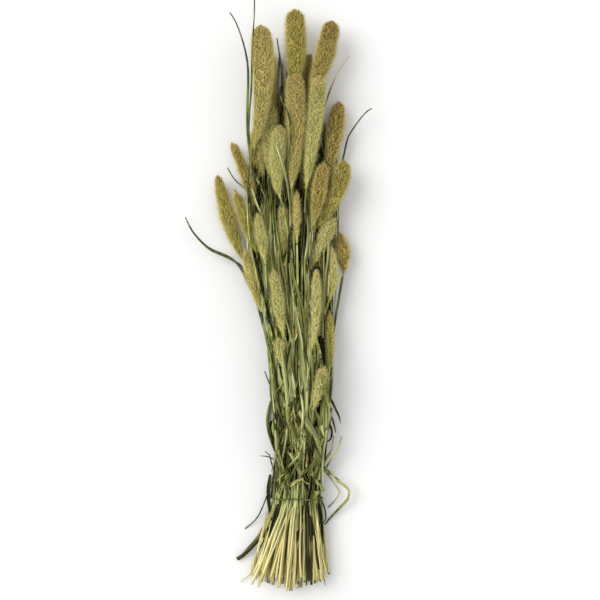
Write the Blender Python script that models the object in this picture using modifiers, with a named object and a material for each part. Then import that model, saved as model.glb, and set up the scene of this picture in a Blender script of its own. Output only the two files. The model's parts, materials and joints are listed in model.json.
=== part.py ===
"""Dried foxtail millet: a tied bunch of cut stems with bristly seed heads and long dry leaves, lying on its side.

Metres in the scene, +Z up. The layout below is written in millimetres: x across the bunch, y along it from the
lowest cut end to the highest leaf tip, z above the table. At the end everything is moved so that the origin is at
the middle of the underside of the whole bunch, with +Y towards the seed heads.
"""

import math
import random

import bmesh
import bpy
import numpy as np
from mathutils import Vector

MM = 0.001
SEED = 11

# Driving sizes, in millimetres
LENGTH = 708.0             # lowest cut end to highest leaf tip
STATION = 4.0              # spacing of the cross sections in which the strands are packed
TIE_AT = 112.0             # the tie's distance from the lowest cut end
TIE_CENTRE = (0.0, 21.0)   # middle of the waist, across and up
TIE_WIRE = 1.1             # radius of the twine
TIE_GAP = 0.5              # between the twine and the stems, which pass it at a slant
TIE_TOLERANCE = 0.15       # how far its built path may cut the corners of the outline that it follows
BUTT_CENTRE = (-8.0, 20.0) # middle of the fan of cut ends
BUTT_SPREAD = (1.75, 1.3)  # how much wider and higher the fan is than the waist
CUT_STAGGER = 26.0         # the cut ends lie up to this far apart along the bunch
STEM_FOOT = 2.6            # radius of a stem at its cut end
STEM_TOP = 1.25            # and just under its seed head
STEM_SLIM_OVER = 520.0     # length over which it narrows
BLADE_THICK = 0.8
CLEAR = 1.0                # gap kept between strands
MOST_PUSH = 1.2            # the furthest that a strand moves in one step of the packing
SAG = 0.02                 # and how far it sinks
SEAT = 0.5                 # gap between a seed head and the end of its stem
FUSE = 1.1                 # how deep two stems of one piece press into each other at the tie
FUSE_REACH = 9.0           # and over what length each way
ROOT_REACH = 14.0          # a blade leaves its stem within this length
ROOT_EASE = 50.0           # and reaches its own place within this
ROOT_APART = 34.0          # between two blades on one stem
STEM_TOLERANCE = 0.5       # how far the built stems may cut the corners of their paths
BLADE_TOLERANCE = 0.55
SINK = 0.7                 # how much the lowest seed heads are flattened by the table

# Seed head form
HEAD_SIDES = 8
ROW_SPACING = 10.6         # spacing of the rows of grain clusters
HEAD_SEAT = 1.5            # radius of the flat foot that faces the stem's end
FLOOR_SHARE = 0.74         # radius between the clusters, as a share of the radius over them
LIFT_SHARE = 0.35          # how far a cluster leans towards the tip, as a share of the row spacing

# Height of a seed head's middle above the table, for the four layers of the bunch. The lowest ones lie on it.
LAYERS = (8.0, 25.0, 40.0, 53.0)

# One row a plant. Its seed head's tip and foot as seen from above, how far the head bows to the right, its widest
# diameter, its layer, its finish and where it is widest, as a share of its length from the foot. The last ten lie
# hidden under the others.
PLANTS = (
    # tip x, tip y, foot x, foot y, bow, width, layer, finish, widest at
    (-45, 676, -52, 530, 9, 27, 3, "tan", 0.62),
    (-4, 697, -8, 575, 5, 25, 2, "olive", 0.6),
    (42, 683, 16, 590, 2, 25, 2, "brown", 0.6),
    (16, 647, 11, 560, 0, 17, 0, "olive", 0.55),
    (-3, 618, -6, 482, 2, 23, 3, "tan", 0.6),
    (26, 615, 11, 482, 0, 20, 3, "green", 0.62),
    (51, 588, 36, 488, 0, 21, 1, "brown", 0.62),
    (32, 515, 20, 438, 0, 18, 3, "brown", 0.52),
    (55, 517, 23, 434, 8, 21, 2, "olive", 0.6),
    (43, 449, 13, 374, -2, 18, 2, "green", 0.58),
    (49, 431, 55, 379, 4, 19, 1, "brown", 0.46),
    (-79, 539, -50, 446, 6, 16, 1, "brown", 0.5),
    (-95, 500, -64, 396, -3, 21, 1, "olive", 0.45),
    (-74, 482, -48, 406, 0, 18, 2, "olive", 0.48),
    (-62, 413, -42, 336, 0, 17, 2, "tan", 0.48),
    (-31, 587, -34, 500, 0, 19, 2, "green", 0.5),
    (-13, 557, -19, 470, -8, 21, 3, "green", 0.55),
    (-42, 542, -35, 488, 0, 14, 1, "tan", 0.5),
    (-47, 454, -37, 392, 0, 15, 3, "green", 0.48),
    (-16, 467, -16, 396, 0, 17, 2, "green", 0.48),
    (-1, 480, 0, 416, 0, 11, 3, "tan", 0.5),
    (-29, 389, -17, 306, 0, 17, 3, "green", 0.5),
    (23, 386, 17, 284, 2, 13, 3, "green", 0.55),
    (38, 415, 38, 347, 6, 13, 2, "green", 0.46),
    (38, 338, 42, 270, 0, 12, 2, "olive", 0.45),
    (31, 272, 17, 218, 0, 16, 3, "green", 0.65),
    (-26, 613, -22, 542, 0, 14, 0, "brown", 0.5),
    (-20, 306, -17, 270, 0, 13, 3, "green", 0.55),
    (-34, 652, -30, 560, 0, 20, 1, "olive", 0.6),
    (22, 640, 14, 540, 0, 18, 1, "brown", 0.6),
    (-6, 590, -10, 500, 0, 20, 0, "tan", 0.6),
    (44, 545, 34, 450, 0, 18, 0, "olive", 0.6),
    (-50, 556, -44, 470, 0, 17, 0, "tan", 0.6),
    (12, 560, 8, 470, 0, 19, 1, "olive", 0.6),
    (-24, 520, -20, 430, 0, 18, 1, "green", 0.6),
    (36, 480, 26, 390, 0, 17, 0, "green", 0.6),
    (-58, 460, -44, 372, 0, 16, 0, "olive", 0.6),
    (8, 450, 6, 360, 0, 16, 0, "green", 0.6),
)

SHOWN = len(PLANTS) - 10

# Leaves that stand clear of the bunch or lie across its front: widest breadth, then points x, y, z from the root,
# which grows out of the nearest stem, to the tip.
FREE_BLADES = (
    (3.2, ((-40, 456, 46), (-53, 499, 48), (-60, 557, 50), (-58, 600, 52), (-57, 623, 54), (-60, 644, 56),
           (-67, 666, 57), (-72, 680, 56), (-80, 691, 54))),
    (2.4, ((-49, 470, 50), (-55, 522, 58), (-58, 557, 60), (-55, 582, 62), (-53, 610, 66), (-53, 632, 69),
           (-52, 659, 70), (-50, 683, 66), (-50, 708, 62))),
    (3.0, ((-8, 542, 24), (-14, 590, 28), (-18, 625, 34), (-21, 645, 40), (-24, 662, 44))),
    (2.2, ((-14, 470, 56), (-8, 530, 62), (-6, 564, 68), (-17, 582, 66), (-23, 600, 62), (-24, 614, 60))),
    (2.2, ((22, 530, 30), (36, 593, 30), (40, 602, 30), (49, 625, 30), (64, 643, 29))),
    (2.8, ((36, 446, 24), (46, 482, 24), (55, 518, 22), (61, 546, 24), (72, 563, 26), (83, 577, 28), (90, 580, 29))),
    (1.6, ((-56, 452, 30), (-65, 479, 28), (-84, 509, 25))),
    (5.2, ((-49, 350, 26), (-58, 377, 24), (-66, 392, 22), (-78, 401, 21), (-96, 407, 19), (-108, 413, 18),
           (-127, 432, 16), (-135, 450, 15))),
    (2.0, ((-23, 218, 34), (-25, 229, 34), (-39, 265, 31))),
    (5.0, ((-18, 164, 26), (-26, 179, 27), (-30, 192, 28), (-28, 204, 29), (-23, 214, 31))),
    (2.6, ((-24, 124, 22), (-31, 138, 22), (-31, 150, 22), (-32, 163, 22), (-38, 168, 21))),
    (2.6, ((-24, 152, 20), (-32, 134, 18), (-37, 115, 16), (-42, 97, 14), (-49, 84, 11), (-64, 73, 6))),
    (6.0, ((-33, 96, 14), (-41, 74, 12), (-50, 59, 9), (-59, 49, 7), (-72, 37, 4))),
    (2.6, ((26, 124, 22), (36, 138, 26), (41, 149, 28), (49, 170, 30), (54, 187, 30))),
    (5.0, ((20, 172, 26), (35, 159, 26), (45, 149, 25), (54, 139, 23), (63, 124, 20), (61, 113, 17),
           (53, 102, 14), (43, 91, 11), (33, 78, 8))),
    (2.4, ((29, 164, 16), (43, 146, 15), (49, 134, 12), (54, 116, 10), (47, 105, 8), (40, 99, 6))),
    (3.6, ((26, 122, 30), (32, 140, 31), (37, 157, 32), (43, 174, 32), (44, 188, 32))),
    (3.2, ((37, 240, 16), (43, 214, 14), (47, 190, 12))),
    (4.2, ((18, 236, 42), (24, 218, 42), (32, 190, 38))),
    (4.0, ((42, 234, 34), (40, 206, 34), (35, 186, 33))),
    (6.0, ((-8, 242, 46), (-2, 225, 48), (11, 208, 48), (19, 194, 46), (26, 178, 41))),
    (4.2, ((-18, 150, 42), (-17, 166, 43), (-13, 187, 44), (-8, 211, 45))),
    (5.0, ((14, 156, 42), (3, 179, 45), (-7, 206, 46))),
)
OVER_TIE = 32.0            # a blade that passes the tie further out than this hangs over it

# Leaves that lie along the bunch, by rule: how many, and how broad and long
BODY_BLADES = 16
BODY_BLADE_BREADTH = (5.4, 8.4)
BODY_BLADE_LENGTH = (90, 150)
BODY_BLADE_ROOTS = ((126, 150), (190, 245), (150, 190), (240, 300))

# The bunch's left and right edges between its tie and its lower seed heads: y, left x, right x
EDGES = ((60, -38, 34), (114, -27, 27), (150, -26, 30), (190, -25, 40), (250, -26, 44), (300, -34, 45),
         (350, -44, 46), (420, -58, 48))


class Strands:
    """Centres and radii of all strands (stems with their heads, and leaf blades) in each cross section.

    x, z and r have one row a strand and one column a station. present says where a strand is, and give how easily
    it moves aside. joins lists where two strands grow into each other: both rows, the place and its reach.
    holds lists which strand is held by which other, and how firmly at each station. over_tie has the rows of the
    blades that hang over the tie.
    """

    def __init__(self):
        self.y = np.arange(0.0, LENGTH + STATION, STATION)
        count = len(self.y)
        self.x, self.z, self.r = (np.zeros((0, count)) for _ in range(3))
        self.present = np.zeros((0, count), bool)
        self.give = np.zeros((0, count))
        self.joins = []
        self.holds = []
        self.over_tie = set()
        # the twine passes under the stems
        self.lift = (2 * TIE_WIRE + TIE_GAP + SINK) * np.exp(-(((self.y - TIE_AT) / 14) ** 2))

    def add(self, x, z, r, low, high, give):
        present = (self.y >= low - STATION / 2) & (self.y <= high + STATION / 2)
        for name, row in (("x", x), ("z", z), ("r", r), ("present", present), ("give", give)):
            row = np.broadcast_to(row, self.y.shape)
            setattr(self, name, np.vstack([getattr(self, name), row[None]]))
        return len(self.x) - 1


def bell(count):
    weights = np.hanning(count + 2)[1:-1]
    return weights / weights.sum()


def along_smoothed(rows, present, kernel):
    """Each row averaged along its own length, without reaching past its ends."""
    def run(row):
        return np.convolve(row, kernel, mode="same")
    top = np.apply_along_axis(run, 1, np.where(present, rows, 0.0))
    share = np.apply_along_axis(run, 1, present.astype(float))
    return np.where(present, top / np.maximum(share, 1e-6), rows)


def settle(s, rounds, hold_x=0.0, hold_z=0.0, soften=7, pins=None):
    """Pushes the strands apart in every cross section, in small smooth steps, until pieces no longer touch.

    hold_x and hold_z pull each strand back to where it started, and all of them sag a little towards the table.
    pins(s) is run after each step.
    """
    most_slant = 1.8
    home_x, home_z = s.x.copy(), s.z.copy()
    both = s.present[:, None, :] & s.present[None, :, :] & ~np.eye(len(s.x), dtype=bool)[:, :, None]
    for one, other, place, reach in s.joins:
        near = np.abs(s.y - place) < reach
        both[one, other, near] = both[other, one, near] = False
    share = s.give[:, None, :] / (s.give[:, None, :] + s.give[None, :, :])
    kernel = bell(soften)
    for _ in range(rounds):
        slope = np.hypot(np.gradient(s.x, s.y, axis=1), np.gradient(s.z, s.y, axis=1))
        wide = s.r * np.minimum(np.sqrt(1 + slope**2), most_slant)
        dx = s.x[:, None, :] - s.x[None, :, :]
        dz = s.z[:, None, :] - s.z[None, :, :]
        apart = np.maximum(np.hypot(dx, dz), 0.05)
        short = np.clip(wide[:, None, :] + wide[None, :, :] + CLEAR - apart, 0, None) * both * share
        push_x = (dx / apart * short).sum(axis=1)
        push_z = (dz / apart * short).sum(axis=1)
        for row, host, grip in s.holds:
            for push in (push_x, push_z):
                push[host] += grip * push[row]
                push[row] *= 1 - grip
        if soften > 1:
            push_x = along_smoothed(push_x, s.present, kernel)
            push_z = along_smoothed(push_z, s.present, kernel)
        s.x = s.x + np.clip(0.6 * push_x, -MOST_PUSH, MOST_PUSH) + hold_x * (home_x - s.x)
        s.z = s.z + np.clip(0.6 * push_z, -MOST_PUSH, MOST_PUSH) + hold_z * (home_z - s.z)
        s.z = np.maximum(s.z - SAG, wide - SINK + s.lift)
        if pins:
            pins(s)


def head_profile(t, widest):
    """Radius along a seed head as a share of its widest: slim at the foot, and a round tip.

    The lower down it is widest, the more it tapers from there to its tip.
    """
    t = np.clip(t, 0, 1)
    swell = 0.30 + 0.70 * np.minimum(1.0, t / widest) ** 0.85
    taper = 1 - 2.2 * max(0.6 - widest, 0.0) * np.clip((t - widest) / (1 - widest), 0, 1)
    return swell * taper * np.sqrt(np.clip(1 - np.clip((t - 0.84) / 0.175, 0, 1) ** 2, 0.02, 1))


def blade_profile(t):
    """Breadth along a leaf blade as a share of its widest, from root to tip."""
    t = np.clip(t, 0, 1)
    return np.interp(t, (0, 0.12, 0.35, 0.6, 0.85, 1), (0.35, 0.7, 1.0, 0.95, 0.6, 0.22))


def packed_waist(plants, draw):
    """The stems' places in the tie's cross section: drawn together from above their places among the seed heads."""
    middle = np.array(TIE_CENTRE)
    spots = np.array([[p[2] * 0.42, middle[1] + (LAYERS[p[6]] - 33) * 0.5] for p in plants])
    spots += np.array([[draw.uniform(-1, 1), draw.uniform(-1, 1)] for _ in plants])
    apart = 2 * STEM_FOOT + CLEAR + 0.9
    for _ in range(900):
        spots += (middle - spots) * (0.006, 0.03)
        gap = spots[:, None] - spots[None]
        reach = np.maximum(np.hypot(gap[..., 0], gap[..., 1]), 0.05)
        short = np.clip(apart - reach, 0, None) * (1 - np.eye(len(spots)))
        spots += 0.35 * (gap / reach[..., None] * short[..., None]).sum(axis=1)
    return spots


def pairs_of(spots):
    """The stems two by two: each outermost stem left over with its nearest neighbour in the waist."""
    middle = np.array(TIE_CENTRE)
    left = sorted(range(len(spots)), key=lambda i: -np.linalg.norm(spots[i] - middle))
    pairs = []
    while left:
        first = left.pop(0)
        second = min(left, key=lambda i: np.linalg.norm(spots[i] - spots[first]))
        left.remove(second)
        pairs.append((first, second))
    return pairs


def hermite(y, low, high):
    """Values at y on the cubic from low to high, each (y, value, slope)."""
    (y0, v0, m0), (y1, v1, m1) = low, high
    span = y1 - y0
    t = (y - y0) / span
    return ((2 * t**3 - 3 * t**2 + 1) * v0 + (t**3 - 2 * t**2 + t) * span * m0
            + (3 * t**2 - 2 * t**3) * v1 + (t**3 - t**2) * span * m1)


def plant_path(y, plant, waist, butt):
    """x and z of a plant along y: straight from its cut end to the waist, a curve to the head's foot, then the head."""
    tip_x, tip_y, foot_x, foot_y, bow, _, layer, _, _ = plant
    foot_z = LAYERS[layer] if layer else plant[5] / 2 - SINK
    share = (y - foot_y) / (tip_y - foot_y)
    head_x = foot_x + (tip_x - foot_x) * share + bow * 4 * share * (1 - share)
    lean = (tip_x - foot_x + 4 * bow) / (tip_y - foot_y)
    butt_slope = (waist - butt) / TIE_AT
    x = np.where(
        y > foot_y, head_x,
        hermite(y, (TIE_AT, waist[0], butt_slope[0]), (foot_y, foot_x, lean * 0.8)))
    z = np.where(
        y > foot_y, foot_z,
        hermite(y, (TIE_AT, waist[1], butt_slope[1]), (foot_y, foot_z, 0.0)))
    below = y < TIE_AT
    x = np.where(below, waist[0] + butt_slope[0] * (y - TIE_AT), x)
    z = np.where(below, waist[1] + butt_slope[1] * (y - TIE_AT), z)
    return x, z


def stem_radius(y):
    return STEM_FOOT + (STEM_TOP - STEM_FOOT) * np.clip(y / STEM_SLIM_OVER, 0, 1)


def lay_out_plants(s, draw):
    """Adds a strand for each plant and packs them. Returns each plant's cut end and the pairs that share a piece."""
    waists = packed_waist(PLANTS, draw)
    pairs = pairs_of(waists)
    s.joins += [(a, b, TIE_AT, FUSE_REACH) for a, b in pairs]
    cuts = []
    for number, (plant, waist) in enumerate(zip(PLANTS, waists)):
        out = waist - np.array(TIE_CENTRE)
        butt = np.array(BUTT_CENTRE) + out * BUTT_SPREAD + (draw.uniform(-2, 2), 0)
        cut = draw.uniform(0, CUT_STAGGER) * 0.7 + min(abs(out[0]) * 0.4, CUT_STAGGER * 0.4)
        cuts.append(0.0 if number == 1 else cut)
        x, z = plant_path(s.y, plant, waist, butt)
        in_head = s.y > plant[3]
        share = (s.y - plant[3]) / (plant[1] - plant[3])
        r = np.where(in_head, plant[5] / 2 * head_profile(share, plant[8]), stem_radius(s.y))
        give = np.where(in_head, 0.5, 1.0)
        s.add(x, z, r, cuts[-1], plant[1], give)
    near_tie = np.abs(s.y - TIE_AT) <= FUSE_REACH

    def press_pairs(state):
        """Brings the two stems of each piece into each other at the tie, which holds all stems parallel."""
        for a, b in pairs:
            gap = np.stack([state.x[b] - state.x[a], state.z[b] - state.z[a]])
            reach = np.maximum(np.hypot(*gap), 0.05)
            want = 2 * stem_radius(state.y) - FUSE
            ease = np.where(near_tie, 1.0, 0.0)
            move = gap / reach * (reach - want) * 0.5 * ease * 0.5
            state.x[a] += move[0]
            state.x[b] -= move[0]
            state.z[a] += move[1]
            state.z[b] -= move[1]
        held = np.abs(state.y - TIE_AT) <= STATION
        for rows in (state.x, state.z):
            rows[:len(PLANTS), held] = rows[:len(PLANTS), held].mean(axis=1, keepdims=True)

    settle(s, 220, hold_x=0.03, hold_z=0.03, soften=13, pins=press_pairs)
    return cuts, pairs, press_pairs


def blade_rows(s, points, breadth):
    """A strand's x, z, r for a blade through points, root first."""
    places = np.array(points, float)
    order = np.argsort(places[:, 1])
    x = np.interp(s.y, places[order, 1], places[order, 0])
    z = np.interp(s.y, places[order, 1], places[order, 2])
    share = (s.y - places[0, 1]) / (places[-1, 1] - places[0, 1])
    r = np.maximum(breadth / 2 * blade_profile(share), 0.6)
    return x, z, r


def body_blades(draw):
    """Breadth and points of the leaves that lie along the bunch: most of them across its front, some at the back."""
    y, left, right = np.array(EDGES, float).T
    found = []
    for number in range(BODY_BLADES):
        across = (number * 0.618) % 1.0
        end_across = min(max(across + draw.uniform(-0.22, 0.22), 0.0), 1.0)
        root = draw.uniform(*BODY_BLADE_ROOTS[number % len(BODY_BLADE_ROOTS)])
        length = draw.uniform(*BODY_BLADE_LENGTH)
        front = number % 4 != 3
        points = []
        for share in (0, 0.15, 0.4, 0.7, 1):
            at = root + length * share
            place = across + (end_across - across) * share
            low, high = np.interp(at, y, left), np.interp(at, y, right)
            points.append((low + (high - low) * place, at, 50 if front else 4))
        found.append((draw.uniform(*BODY_BLADE_BREADTH), points))
    return found


def nearest_stem(s, point, taken):
    """The plant whose stem passes nearest to a point and carries no other blade near there."""
    k = int(round(point[1] / STATION))
    near = [(math.hypot(s.x[i, k] - point[0], s.z[i, k] - point[2]), i) for i in range(len(PLANTS))
            if s.present[i, k] and point[1] < PLANTS[i][3] - 2 * ROOT_REACH
            and all(plant != i or abs(root - point[1]) > ROOT_APART for plant, root in taken)]
    return min(near)[1]


def lay_out_blades(s, pairs, press_pairs, draw):
    """Adds a strand for each leaf blade, rooted in its stem, and settles the whole bunch. Returns the blades."""
    blades = []
    taken = []
    for breadth, points in [*FREE_BLADES, *body_blades(draw)]:
        plant = nearest_stem(s, points[0], taken)
        taken.append((plant, points[0][1]))
        x, z, r = blade_rows(s, points, breadth)
        ends = sorted((points[0][1], points[-1][1]))
        ease = np.clip(np.abs(s.y - points[0][1]) / min(ROOT_EASE, 0.7 * (ends[1] - ends[0])), 0, 1)
        x = s.x[plant] + (x - s.x[plant]) * ease
        z = s.z[plant] + (z - s.z[plant]) * ease
        over = abs(np.interp(TIE_AT, s.y, x) - TIE_CENTRE[0]) > OVER_TIE
        r = r + over * (np.abs(s.y - TIE_AT) < 8) * (2 * TIE_WIRE + TIE_GAP + CLEAR)
        row = s.add(x, z, r, ends[0], ends[1], 1.2)
        if over:
            s.over_tie.add(row)
        s.joins.append((row, plant, points[0][1], ROOT_REACH))
        s.holds.append((row, plant, np.clip(1.3 - np.abs(s.y - points[0][1]) / ROOT_REACH * 1.3, 0, 1)))
        blades.append({"row": row, "plant": plant, "root": points[0][1], "tip": points[-1][1],
                       "breadth": breadth})

    def root_blades(state):
        """Keeps each blade's first stretch in its stem."""
        press_pairs(state)
        for row, host, grip in state.holds:
            state.x[row] += (state.x[host] - state.x[row]) * grip
            state.z[row] += (state.z[host] - state.z[row]) * grip

    settle(s, 240, hold_x=0.03, hold_z=0.02, soften=11, pins=root_blades)
    settle(s, 150, hold_x=0.004, hold_z=0.004, soften=9, pins=root_blades)
    settle(s, 120, soften=7, pins=root_blades)
    return blades


def thinned(points, tolerance, keep=()):
    """The points that a line needs to stay within tolerance of all of them (ends and keep stay)."""
    marks = sorted({0, len(points) - 1, *keep})
    chosen = set(marks)

    def split(a, b):
        if b - a < 2:
            return
        chord = points[b] - points[a]
        rel = points[a + 1:b] - points[a]
        along = np.clip(rel @ chord / max(chord @ chord, 1e-9), 0, 1)
        off = np.linalg.norm(rel - along[:, None] * chord, axis=1)
        worst = int(off.argmax())
        if off[worst] > tolerance:
            chosen.add(a + 1 + worst)
            split(a, a + 1 + worst)
            split(a + 1 + worst, b)

    for a, b in zip(marks, marks[1:]):
        split(a, b)
    return sorted(chosen)


def path_points(s, row, low, high):
    """A strand's centre line between two heights, as points, with its ends exactly there."""
    inner = s.y[(s.y > low + 1.5) & (s.y < high - 1.5)]
    y = np.concatenate([[low], inner, [high]])
    shown = s.present[row]
    x = np.interp(y, s.y[shown], s.x[row, shown])
    z = np.interp(y, s.y[shown], s.z[row, shown])
    return np.stack([x, y, z], axis=1)


def tube(name, points, radii, rings=1):
    """A closed round tube through points, as a mesh object."""
    data = bpy.data.curves.new(name, "CURVE")
    data.dimensions = "3D"
    data.bevel_depth = MM
    data.bevel_resolution = rings
    data.use_fill_caps = True
    spline = data.splines.new("POLY")
    spline.points.add(len(points) - 1)
    for end, place, radius in zip(spline.points, points, radii):
        end.co = (*(Vector(place) * MM), 1)
        end.radius = radius
    curve = bpy.data.objects.new(name + "_line", data)
    bpy.context.scene.collection.objects.link(curve)
    return welded(mesh_of(curve, name))


def welded(obj):
    """Joins a curve's caps to its sides."""
    shape = bmesh.new()
    shape.from_mesh(obj.data)
    bmesh.ops.remove_doubles(shape, verts=shape.verts, dist=0.00001)
    shape.to_mesh(obj.data)
    shape.free()
    return obj


def mesh_of(source, name):
    """A mesh object from an object as evaluated. The source is removed."""
    bpy.context.view_layer.update()
    graph = bpy.context.evaluated_depsgraph_get()
    mesh = bpy.data.meshes.new_from_object(source.evaluated_get(graph))
    obj = bpy.data.objects.new(name, mesh)
    obj.matrix_world = source.matrix_world
    bpy.context.scene.collection.objects.link(obj)
    bpy.data.objects.remove(source)
    return obj


def seed_head(name, line, width, widest, sides):
    """A seed head on its axis line, foot first: rows of grain clusters that stand out of a slimmer core.

    Of the rows, the first is the foot's middle, the second its rim and the last the tip.
    """
    run = np.concatenate([[0], np.cumsum(np.linalg.norm(np.diff(line, axis=0), axis=1))])
    rows = max(7, 1 + round(run[-1] / ROW_SPACING))
    shape = bmesh.new()
    bmesh.ops.create_uvsphere(shape, u_segments=sides, v_segments=rows, radius=1.0)
    for vert in shape.verts:
        row = round((1 - math.acos(max(-1.0, min(1.0, vert.co.z))) / math.pi) * rows)
        turn = math.atan2(vert.co.y, vert.co.x)
        raised = (row + round(turn / (2 * math.pi) * sides)) % 2 == 0 and 1 < row < rows
        t = max(0, row - 1 + (LIFT_SHARE if raised else 0)) / (rows - 1)
        place, ahead, back = (
            Vector([np.interp(min(max(t + step, 0), 1) * run[-1], run, line[:, axis]) for axis in range(3)])
            for step in (0, 0.04, -0.04))
        tangent = (ahead - back).normalized()
        across = tangent.cross(Vector((0, 0, 1))).normalized()
        down = tangent.cross(across)
        radius = width / 2 * float(head_profile(t, widest)) * (1 if raised else FLOOR_SHARE)
        if row <= 1:
            radius = row * HEAD_SEAT
        if row == rows:
            radius = 0
        vert.co = (place + (across * math.cos(turn) + down * math.sin(turn)) * radius) * MM
    bmesh.ops.triangulate(shape, faces=shape.faces, quad_method="SHORT_EDGE")
    mesh = bpy.data.meshes.new(name)
    shape.to_mesh(mesh)
    shape.free()
    obj = bpy.data.objects.new(name, mesh)
    bpy.context.scene.collection.objects.link(obj)
    return obj


def leaf_blade(name, line, breadths, twist):
    """A leaf blade as a strip along its line, root first, its flat side outwards, twisted by up to twist degrees."""
    count = len(line) - 1
    shape = bmesh.new()
    bmesh.ops.create_grid(shape, x_segments=1, y_segments=count, size=1.0)
    for vert in shape.verts:
        k = round((vert.co.y + 1) / 2 * count)
        place = Vector(line[k])
        tangent = (Vector(line[min(k + 1, count)]) - Vector(line[max(k - 1, 0)])).normalized()
        side = 1 if place.z > TIE_CENTRE[1] - 5 else -1
        out = Vector((0.4 * (place.x - TIE_CENTRE[0]), 0, 25 * side)).normalized()
        across = tangent.cross(out).normalized()
        face = across.cross(tangent)
        angle = math.radians(twist) * math.sin(math.pi * k / count)
        edge = across * math.cos(angle) + face * math.sin(angle)
        vert.co = (place + edge * vert.co.x * breadths[k] / 2) * MM
    bmesh.ops.triangulate(shape, faces=shape.faces)
    mesh = bpy.data.meshes.new(name)
    shape.to_mesh(mesh)
    shape.free()
    sheet = bpy.data.objects.new(name + "_sheet", mesh)
    bpy.context.scene.collection.objects.link(sheet)
    solid = sheet.modifiers.new("thickness", "SOLIDIFY")
    solid.thickness = BLADE_THICK * MM
    solid.offset = 0
    return mesh_of(sheet, name)


def fused(name, pieces):
    """One mesh object from overlapping closed pieces, by a Boolean union. The pieces are removed."""
    others = bpy.data.collections.new(name + "_pieces")
    bpy.context.scene.collection.children.link(others)
    first, rest = pieces[0], pieces[1:]
    for piece in rest:
        others.objects.link(piece)
    union = first.modifiers.new("union", "BOOLEAN")
    union.operation = "UNION"
    union.operand_type = "COLLECTION"
    union.collection = others
    union.solver = "MANIFOLD"
    obj = mesh_of(first, name)
    for piece in rest:
        bpy.data.objects.remove(piece)
    bpy.data.collections.remove(others)
    drop_crumbs(obj)
    return obj


def drop_crumbs(obj):
    """Keeps only the largest of the separate bodies of a mesh: a union can leave specks where surfaces graze."""
    shape = bmesh.new()
    shape.from_mesh(obj.data)
    left = set(shape.verts)
    bodies = []
    while left:
        edge = [left.pop()]
        body = set(edge)
        while edge:
            vert = edge.pop()
            for link in vert.link_edges:
                other = link.other_vert(vert)
                if other in left:
                    left.discard(other)
                    body.add(other)
                    edge.append(other)
        bodies.append(body)
    largest = max(bodies, key=len)
    crumbs = [vert for vert in shape.verts if vert not in largest]
    bmesh.ops.delete(shape, geom=crumbs, context="VERTS")
    shape.to_mesh(obj.data)
    shape.free()


def cut_at_table(obj, table):
    """Takes away what a piece would reach below the table, which leaves a flat spot."""
    if min(vert.co.z for vert in obj.data.vertices) >= 0:
        return obj
    cut = obj.modifiers.new("table", "BOOLEAN")
    cut.operation = "DIFFERENCE"
    cut.object = table
    cut.solver = "MANIFOLD"
    name = obj.name
    obj.name = name + "_uncut"
    return mesh_of(obj, name)


def table_block():
    """A cutter that fills the space under the table's surface."""
    bpy.ops.mesh.primitive_cube_add(size=1.0, location=(0, LENGTH / 2 * MM, -0.05))
    block = bpy.context.object
    block.name = "table_cutter"
    block.scale = (1.0, 2.0, 0.1)
    bpy.ops.object.transform_apply(location=False, rotation=False, scale=True)
    block.hide_render = True
    block.display_type = "WIRE"
    return block


def stem_pieces(s, plant, cut):
    """The tube of one stem, from its cut end to just short of its seed head."""
    foot_y = PLANTS[plant][3]
    line = path_points(s, plant, cut, foot_y - SEAT)
    at_tie = int(np.abs(line[:, 1] - TIE_AT).argmin())
    chosen = thinned(line, STEM_TOLERANCE, keep=(at_tie,))
    return tube(f"stem_{plant + 1:02d}", line[chosen], stem_radius(line[chosen, 1]))


def blade_piece(s, number, blade, draw):
    """The solid of one leaf blade."""
    low, high = sorted((blade["root"], blade["tip"]))
    line = path_points(s, blade["row"], low, high)
    line = line[thinned(line, BLADE_TOLERANCE)]
    if blade["root"] > blade["tip"]:
        line = line[::-1]
    share = (line[:, 1] - blade["root"]) / (blade["tip"] - blade["root"])
    breadths = np.maximum(blade["breadth"] * blade_profile(share), 1.2)
    return leaf_blade(f"blade_{number + 1:02d}", line, breadths, draw.uniform(-40, 40))


def tie_ring(s):
    """The twine round the waist: it follows the outline of all strands there."""
    k = int(round(TIE_AT / STATION))
    here = s.present[:, k] & [row not in s.over_tie for row in range(len(s.x))]
    x, z, r = s.x[here, k], s.z[here, k], s.r[here, k]
    points = []
    for degrees in range(360):
        turn = math.radians(degrees)
        out = np.array([math.cos(turn), math.sin(turn)])
        reach = x * out[0] + z * out[1] + r
        far = int(reach.argmax())
        spot = np.array([x[far], z[far]]) + out * (r[far] + TIE_GAP + TIE_WIRE)
        points.append((spot[0], TIE_AT, max(spot[1], TIE_WIRE)))
    loop = np.array(points)
    loop = loop[thinned(loop, TIE_TOLERANCE)[:-1]]
    data = bpy.data.curves.new("tie", "CURVE")
    data.dimensions = "3D"
    data.bevel_depth = TIE_WIRE * MM
    data.bevel_resolution = 1
    spline = data.splines.new("POLY")
    spline.points.add(len(loop) - 1)
    for end, place in zip(spline.points, loop):
        end.co = (*(Vector(place) * MM), 1)
    spline.use_cyclic_u = True
    curve = bpy.data.objects.new("tie_line", data)
    bpy.context.scene.collection.objects.link(curve)
    return welded(mesh_of(curve, "tie"))


FINISHES = {
    # sRGB-like colour, roughness
    "tan": ((0.47, 0.38, 0.17), 0.9),
    "brown": ((0.40, 0.28, 0.11), 0.9),
    "olive": ((0.34, 0.31, 0.11), 0.9),
    "green": ((0.44, 0.43, 0.15), 0.9),
    "stem": ((0.30, 0.33, 0.14), 0.75),
    "twine": ((0.06, 0.09, 0.03), 0.8),
}


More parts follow.
